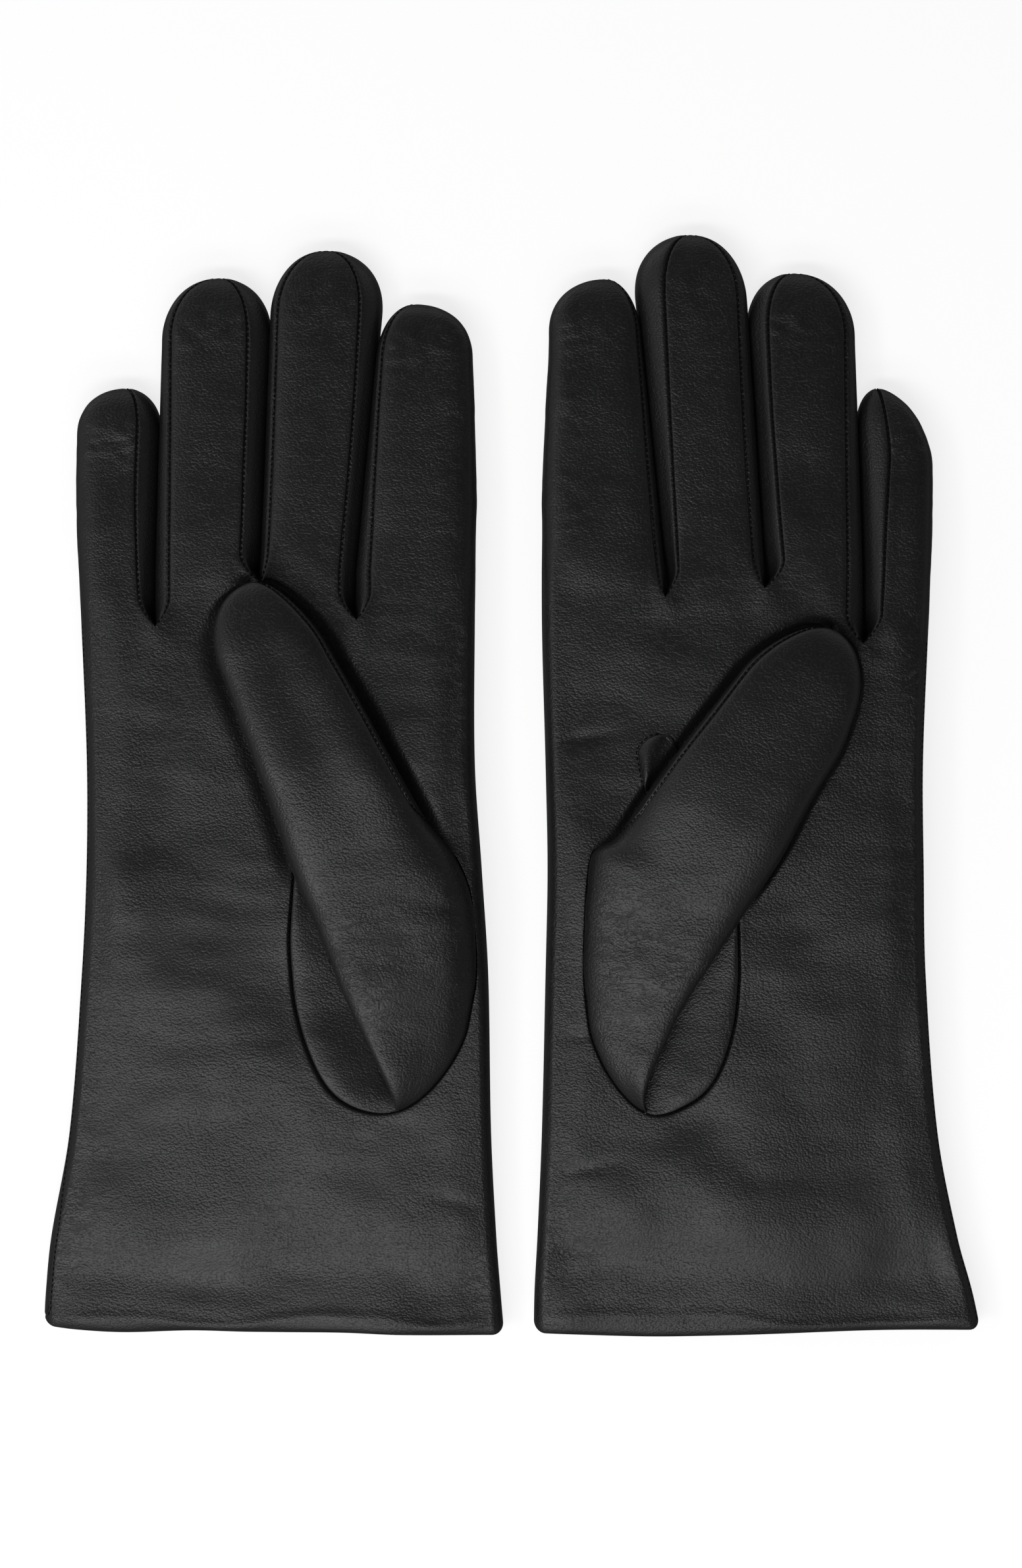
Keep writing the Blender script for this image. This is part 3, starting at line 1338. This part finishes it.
thumb_loop = loop_table(THUMB_POWER, *THUMB_SECTION)


def thumb_section(glove, s, turn):
    """Points of the thumb at shares s and turns round its section."""
    outer, inner = thumb_side(glove, s, -1), thumb_side(glove, s, 1)
    place, lift = on_loop(thumb_loop, turn)
    u, y = thumb_at(glove, s, (outer + inner) / 2 + (inner - outer) / 2 * place)
    close = thumb_close(s)
    tube = smooth((s - TUBE_STARTS) / (TUBE_FULL - TUBE_STARTS))
    high = curve(THUMB_H_SHARES, THUMB_H, np.maximum(s, THUMB_FOOT))
    palm = hand_surface(glove, u, y, 1, pressed=False)
    floor_level = lerp(palm, hand_height(y) + THUMB_AIR, tube)
    folded = smooth((place - FOLD_FROM) / (1.0 - FOLD_FROM))
    fold = FOLD_LEVEL * folded * smooth(s / FOLD_FULL)
    rim = floor_level + lerp(fold, high / 2, tube)
    rise = (floor_level + high - rim) * close
    drop = lerp(fold + VALLEY, high / 2, tube) * close
    wedge = ((place + 1) / 2) ** WEDGE_POWER * arch(np.maximum(place, 0.0), FOLD_POWER)
    upper = lerp(wedge, lift, smooth((s - ROUND_STARTS) / (ROUND_FULL - ROUND_STARTS)))
    trough = TROUGH * hump(place, 0.0, TROUGH_WIDTH) * hump(s, *TROUGH_LENGTH)
    z = rim + np.where(lift > 0, rise * upper - trough, drop * lift)
    return np.stack(np.broadcast_arrays(u, y, z), axis=-1)


def thumb_shares(start, rows):
    """Shares along the thumb, closer together at its foot and its tip."""
    t = np.linspace(0.0, 1.0, rows)
    foot = lerp(start, THUMB_MIDDLE, (2 * t) ** ROWS_CROWD)
    tip = lerp(LAST_SHARE, THUMB_MIDDLE, (2 - 2 * t).clip(0.0) ** ROWS_CROWD)
    return np.where(t < 0.5, foot, tip)[:, None]


def upper_seam_turn(s):
    """The turn of the thumb's seam, which climbs onto the top where the tube starts."""
    start, length = SEAM_CLIMBS
    return 0.5 - float(loop_turn(thumb_loop, SEAM_PLACE)) * smooth((s - start) / length)


def thumb_folds(grid, glove, s):
    """Cross folds, strongest on the thumb's ball and near its tip, mm."""
    _, ahead, _ = thumb_axis(glove)
    along = grid[..., 0] * ahead[0] + grid[..., 1] * ahead[1]
    side = grid[..., 0] * ahead[1] - grid[..., 1] * ahead[0]
    turned = np.stack([side * FOLDS_ACROSS, along, grid[..., 2] * FOLDS_ACROSS], axis=-1)
    where = FOLDS_LEAST + sum(share * hump(s, *at) for share, *at in FOLDS_AT)
    return where * ripples(turned, *THUMB_FOLDS)


def thumb_upper(glove):
    s = thumb_shares(FIRST_SHARE, THUMB_ROWS)
    start, length = TUCK_ENDS
    first = -lerp(TUCK, TUCK_LEFT, smooth((s - start) / length)) * smooth(s / FOOT_FADE)
    to_seam = 1.0 - np.linspace(1.0, 0.0, THUMB_COLUMNS)[None, :] ** SEAM_CROWD
    turn = lerp(first, upper_seam_turn(s), to_seam)
    grid = thumb_section(glove, s, turn)
    faces = grid_faces(grid, turned=True)
    folds = thumb_folds(grid, glove, s) * smooth(s / FOOT_FADE) * smooth((1.0 - s) / TIP_FADE)
    lift = folds + seam_lip(edge_distance(grid, -1)) * smooth(s / LIP_FADE)
    grid = grid + grid_normals(grid, faces) * lift[..., None]
    crease = THUMB_CREASE_LEAST + 0.0 * turn
    for strength, middle, width in (BALL_CREASE, THUMB_TIP_CREASE):
        crease = crease + strength * hump(s, middle, width)
    return leather_piece(glove, "thumb", grid, faces, crease)


def thumb_under(glove):
    s = thumb_shares(TUBE_STARTS, THUMB_ROWS // 2)
    from_seam = np.linspace(0.0, 1.0, THUMB_COLUMNS)[None, :] ** SEAM_CROWD
    grid = thumb_section(glove, s, lerp(upper_seam_turn(s), 1.0 - OVERLAP, from_seam))
    faces = grid_faces(grid, turned=True)
    lip = seam_lip(edge_distance(grid, 0)) * smooth((1.0 - s) / TIP_FADE)
    grid = grid + grid_normals(grid, faces) * lip[..., None]
    return leather_piece(glove, "thumb_under", grid, faces)


def bend_with_thumb(piece):
    """The piece follows the hand on the ball and the thumb beyond its hinge."""
    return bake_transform(piece)


for glove in GLOVES:
    for piece, nodes in (
        (thumb_upper(glove), ["thumb_base", "thumb_front"]),
        (thumb_under(glove), ["thumb_under"]),
    ):
        bend_with_thumb(piece)
        dress(glove, nodes)
        print(piece.name, "faces:", len(piece.data.polygons))

# %% [markdown]
# ## Gusset and quirk
#
# The gusset is the leaf of leather between the thumb's fold and the palm. It sinks into the valley
# under the fold. The quirk is a small rounded point, set in above the thumb so that the glove can
# open there. It shows on the left-hand glove.

# %% Gusset and quirk
GUSSET_ROWS = 80
GUSSET_COLUMNS = 34
GUSSET_UNDER = 4.0
GUSSET_DIP = 1.8
GUSSET_DIP_POWER = 3.5
GUSSET_DOME = 0.6
GUSSET_LEAST = 0.3
GUSSET_FIRST = 0.012
GUSSET_FADES = (0.12, 0.08, 0.06, 0.01)
GUSSET_UNEVEN = 0.5
QUIRK_SIZE = (11.0, 15.5)
QUIRK_TILT = np.radians(18.0)
QUIRK_POINT = 0.6
QUIRK_BULGE = 0.85
QUIRK_ROWS = 44
QUIRK_COLUMNS = 31
QUIRK_ENDS = (0.02, 0.998)
QUIRK_DOME = 0.5
QUIRK_RIDGE = (1.2, -0.45, 0.42)
QUIRK_UNEVEN = 0.4


def gusset_piece(glove):
    crowded = np.linspace(GUSSET_FIRST, 1.0, GUSSET_ROWS) ** SEAM_CROWD
    s = (glove["gusset_shares"][-1] * crowded)[:, None]
    under_fade, dip_fade, dome_fade, lip_fade = [smooth(s / reach) for reach in GUSSET_FADES]
    share = 1.0 - np.linspace(1.0, 0.0, GUSSET_COLUMNS)[None, :] ** SEAM_CROWD
    fold = thumb_side(glove, s, 1)
    seam = np.maximum(gusset_side(glove, s), fold + GUSSET_LEAST)
    u, y = thumb_at(glove, s, lerp(fold - GUSSET_UNDER * under_fade, seam, share))
    dip = GUSSET_DIP * (1.0 - share) ** GUSSET_DIP_POWER * dip_fade
    dome = GUSSET_DOME * np.sin(np.pi * share**3) * dome_fade
    grid = on_hand(glove, u, y, 1, dome - dip)
    faces = grid_faces(grid)
    shaped = sewn(grid, faces, False, True, lip_fade, GUSSET_UNEVEN)
    return leather_piece(glove, "gusset", shaped, faces)


def quirk_at(glove, share, place):
    """u and y at a share of the quirk's length and a place across it, from -1 to 1."""
    point = np.clip(share / QUIRK_POINT, 0.0, 1.0) ** QUIRK_BULGE
    top = arch(np.clip((share - QUIRK_POINT) / (1.0 - QUIRK_POINT), 0.0, 1.0), 2.0)
    aside, ahead = QUIRK_SIZE[0] / 2 * point * top * place, QUIRK_SIZE[1] * share
    cos, sin = np.cos(QUIRK_TILT), np.sin(QUIRK_TILT)
    u, y = glove["quirk"]
    return u + aside * cos + ahead * sin, y + ahead * cos - aside * sin


def quirk_piece(glove):
    share = np.linspace(*QUIRK_ENDS, QUIRK_ROWS)[:, None]
    place = np.sin(np.linspace(-np.pi / 2, np.pi / 2, QUIRK_COLUMNS))[None, :]
    u, y = quirk_at(glove, share, place)
    height, *ridge = QUIRK_RIDGE
    dome = QUIRK_DOME + height * hump(place, *ridge)
    grid = on_hand(glove, u, y, 1, dome * inside(place) * np.sin(np.pi * share) ** 0.5)
    faces = grid_faces(grid)
    shaped = sewn(grid, faces, True, True, 1.0, QUIRK_UNEVEN)
    return leather_piece(glove, "quirk", shaped, faces)


for glove in GLOVES:
    for part, maker in (("gusset", gusset_piece), ("quirk", quirk_piece)):
        piece = maker(glove)
        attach(piece, f"{glove['side']}_hand")
        dress(glove, [f"thumb_{part}"])
        print(piece.name, "faces:", len(piece.data.polygons))

# %% [markdown]
# ## Hem and linings
#
# At the cuff the leather is turned in as a hem, and the knitted lining starts where it ends. Both
# are loops round the inside of the hand. Each finger and thumb has a lining of its own, closed at
# its tip. Finger and thumb linings bend across the hinge as the leather does.

# %% Hem and linings
HEM_START = 0.4
HEM_DEPTH = 20.0
HEM_INSET = 0.95
HEM_LAP = 1.0
HEM_ROWS = 28
LINING_INSET = 2.1
LINING_START = 1.0
LINING_END = 12.0
LINING_ROWS = 60
LINING_CAP = 0.2
BALL = (0.2, -5.0)
SAG = 2.2
SAG_Y = -45.0
SAG_SIZE = (30.0, 42.0)
SAG_EDGE = 1.6
THUMB_LINING = (0.5, 0.965)
TIP_INSET = 1.7
LEAST_RADIUS = 0.05
HAND_POINTS = 150
FINGER_POINTS = 40
THUMB_POINTS = 44


def hand_loop(glove, y_start, y_end, rows, inset):
    """Loops round the inside of the hand from the cuff's line plus y_start to y_end."""
    turn = np.linspace(0.0, 2 * np.pi, HAND_POINTS, endpoint=False)[None, :]
    place = np.cos(turn)
    y = lerp(cuff_line(glove, place) + y_start, y_end, np.linspace(0.0, 1.0, rows)[:, None])
    low, high = hand_edge(glove, y, -1), hand_edge(glove, y, 1)
    wide, u = lerp(low, high, (place + 1) / 2), lerp(low + inset, high - inset, (place + 1) / 2)
    half = hand_height(y) / 2
    palm, back = hand_surface(glove, wide, y, 1), hand_surface(glove, wide, y, -1)
    z = half + (np.where(np.sin(turn) > 0, palm, back) - half) * (half - inset) / half
    return np.stack(np.broadcast_arrays(u, y, z), axis=-1)


def hem_piece(glove):
    grid = hand_loop(glove, HEM_START, CUFF_Y + HEM_DEPTH, HEM_ROWS, HEM_INSET)
    return leather_piece(glove, "hem", grid, grid_faces(grid, turned=True, ring=True))


def hand_lining_piece(glove):
    """The lining of the hand, which sags under the thumb's ball."""
    end = min(glove["crotch_y"]) - LINING_END
    grid = hand_loop(glove, HEM_DEPTH - HEM_LAP, end, LINING_ROWS, LINING_INSET)
    ball_u, _ = thumb_at(glove, *BALL)
    wide, long = SAG_SIZE
    reach = np.hypot((grid[..., 0] - ball_u) / wide, (grid[..., 1] - SAG_Y) / long)
    top = grid[..., 2] > hand_height(grid[..., 1]) / 2
    grid[..., 2] -= np.where(top, SAG * smooth(SAG_EDGE - reach), 0.0)
    return knit_piece(glove, "hand", grid, LINING_T)


def finger_lining_piece(glove, f):
    start, end = max(root_heights(glove, f)) + LINING_START, glove["tip_y"][f] - TIP_INSET
    y = lerp(start, end, row_shares(0.0, 1.0, LINING_CAP))[:, None]
    turn = np.linspace(0.0, 2 * np.pi, FINGER_POINTS, endpoint=False)[None, :]
    middle, half_width, height, close = finger_section(glove, f, y + TIP_INSET)
    u = middle + np.maximum(half_width - TIP_INSET, LEAST_RADIUS) * np.cos(turn)
    z = height / 2 + np.maximum(height / 2 * close - TIP_INSET, LEAST_RADIUS) * np.sin(turn)
    grid = np.stack(np.broadcast_arrays(u, y, z), axis=-1)
    return knit_piece(glove, FINGERS[f], grid, LINING_T / 2)


def thumb_lining_piece(glove):
    s = np.linspace(*THUMB_LINING, LINING_ROWS)[:, None]
    grid = thumb_section(glove, s, np.linspace(0.0, 1.0, THUMB_POINTS, endpoint=False)[None, :])
    middle = grid.mean(axis=1, keepdims=True)
    arm = grid - middle
    shrink = 1.0 - TIP_INSET / np.linalg.norm(arm, axis=2, keepdims=True)
    grid = middle + arm * np.maximum(shrink, LEAST_RADIUS)
    return knit_piece(glove, "thumb", grid, LINING_T / 2)


for glove in GLOVES:
    for maker, name, slot in (
        (hem_piece, "cuff_hem", "leather"),
        (hand_lining_piece, "hand_lining", "lining"),
    ):
        piece = maker(glove)
        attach(piece, f"{glove['side']}_hand")
        dress(glove, [name])
    for f, finger in enumerate(FINGERS):
        piece = finger_lining_piece(glove, f)
        bend_with_finger(piece)
        dress(glove, [f"{finger}_lining"])
    piece = thumb_lining_piece(glove)
    bend_with_thumb(piece)
    dress(glove, ["thumb_lining"])
print("linings: two hands, eight fingers, two thumbs")

# %% [markdown]
# ## Stitches
#
# Every seam is sewn with short, close stitches of black thread. They repeat along a path, which is
# work for Geometry Nodes: the path is cut into even steps, a small spindle of thread is set on each
# step along the path's direction, and the instances are made real. The result becomes a plain mesh
# for each body.

# %% Stitch tree
STITCH = dict(Step=1.4, Length=1.05, Width=0.34)


def stitch_tree():
    tree = bpy.data.node_groups.new("stitch_row", "GeometryNodeTree")
    tree.interface.new_socket("Path", in_out="INPUT", socket_type="NodeSocketGeometry")
    for name in STITCH:
        tree.interface.new_socket(name, in_out="INPUT", socket_type="NodeSocketFloat")
    tree.interface.new_socket("Stitches", in_out="OUTPUT", socket_type="NodeSocketGeometry")
    given = node(tree, "NodeGroupInput").outputs
    steps = node(tree, "GeometryNodeResampleCurve", {"mode": "LENGTH"})
    tree.links.new(given["Path"], steps.inputs["Curve"])
    tree.links.new(given["Step"], steps.inputs["Length"])
    spindle = node(tree, "GeometryNodeMeshUVSphere", Segments=6, Rings=5, Radius=0.5)
    tangent = node(tree, "GeometryNodeInputTangent").outputs[0]
    turn = node(tree, "FunctionNodeAlignRotationToVector", {"axis": "Z"}, Vector=tangent)
    width, length = given["Width"], given["Length"]
    size = node(tree, "ShaderNodeCombineXYZ", X=width, Y=width, Z=length)
    row = node(
        tree,
        "GeometryNodeInstanceOnPoints",
        Points=steps.outputs[0],
        Instance=spindle.outputs[0],
        Rotation=turn.outputs[0],
        Scale=size.outputs[0],
    )
    last = row
    for kind in ("RealizeInstances", "SetShadeSmooth", "SetMaterial"):
        step = node(tree, "GeometryNode" + kind)
        tree.links.new(last.outputs[0], step.inputs[0])
        last = step
    last.inputs["Material"].default_value = black_thread
    node(tree, "NodeGroupOutput", Stitches=last.outputs[0])
    return tree


stitch_row = stitch_tree()


def stitched(glove, name, paths):
    """A plain mesh of stitches along paths given in the glove's frame, in mm."""
    name = f"{glove['side']}_{name}_stitches"
    line = bpy.data.curves.new(name + "_path", "CURVE")
    line.dimensions = "3D"
    for path in paths:
        spline = line.splines.new("POLY")
        spline.points.add(len(path) - 1)
        corners = np.column_stack([in_frame(glove, path), np.ones(len(path))])
        spline.points.foreach_set("co", corners.ravel())
    carrier = bpy.data.objects.new(name + "_path", line)
    bpy.context.scene.collection.objects.link(carrier)
    sewing = carrier.modifiers.new("sewing", "NODES")
    sewing.node_group = stitch_row
    for item in stitch_row.interface.items_tree:
        if item.in_out == "INPUT" and item.name in STITCH:
            sewing[item.identifier] = STITCH[item.name] * MM
    graph = bpy.context.evaluated_depsgraph_get()
    mesh = bpy.data.meshes.new_from_object(carrier.evaluated_get(graph))
    carrier.modifiers.remove(sewing)
    bpy.data.objects.remove(carrier)
    mesh.name = name
    piece = bpy.data.objects.new(name, mesh)
    bpy.context.scene.collection.objects.link(piece)
    return piece


print("one stitch:", STITCH)

# %% [markdown]
# The paths are the seams that are already there: both edges of each finger strip, the U-shaped seam
# of the thumb, the thumb's upper seam, the quirk and the side seam.

# %% Stitches on the seams
SEAM_DEPTH = 0.08
SIDE_SEAM_DEPTH = 0.5
SIDE_SEAM_POINTS = 200
QUIRK_SEAM = (0.04, 0.97, 40)
QUIRK_SEAM_RISE = 0.1
THUMB_SEAM = (0.46, 0.99, 160)


def finger_paths(glove, f):
    paths = []
    for face in (1, -1):
        grid, _ = finger_grids[glove["side"], f, face]
        sunk = grid - grid_normals(grid, grid_faces(grid)) * face * SEAM_DEPTH
        for column in ([0] if f > 0 else []) + ([-1] if f < 3 else []):
            paths.append(sunk[2:-2, column])
    return paths


def hand_paths(glove):
    share = np.linspace(*QUIRK_SEAM)
    y = np.linspace(float(cuff_line(glove, 1.0)), glove["crotch_y"][2], SIDE_SEAM_POINTS)
    u = hand_edge(glove, y, 1) - side_seam_inset(glove, y) - SIDE_SEAM_DEPTH
    return [
        on_hand(glove, *palm_seam(glove).T, rise=-SEAM_DEPTH),
        on_hand(glove, *quirk_at(glove, share, -1), rise=QUIRK_SEAM_RISE),
        on_hand(glove, *quirk_at(glove, share, 1), rise=QUIRK_SEAM_RISE),
        on_hand(glove, u, y),
    ]


def thumb_path(glove):
    s = np.linspace(*THUMB_SEAM)[:, None]
    edge = thumb_section(glove, s, upper_seam_turn(s))[:, 0]
    edge[:, 2] -= SEAM_DEPTH
    return edge


thread = []
for glove in GLOVES:
    piece = stitched(glove, "hand", hand_paths(glove))
    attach(piece, f"{glove['side']}_hand")
    thread.append(piece)
    piece = stitched(glove, "thumb", [thumb_path(glove)])
    bend_with_thumb(piece)
    thread.append(piece)
    for f, finger in enumerate(FINGERS):
        piece = stitched(glove, finger, finger_paths(glove, f))
        bend_with_finger(piece)
        thread.append(piece)
print("faces of thread:", sum(len(piece.data.polygons) for piece in thread))

# %% [markdown]
# ## Sizes
#
# The dressed gloves should fill the frame's box and not outgrow it, so both boxes are written down
# for comparison before the frame is closed.

# %% Sizes and finish
dressed_box = [list(corner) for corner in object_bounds()]
for label, box in (("frame", cad_box), ("dressed", dressed_box)):
    print(label, [round((high - low) * 1000, 1) for low, high in zip(*box)], "mm")
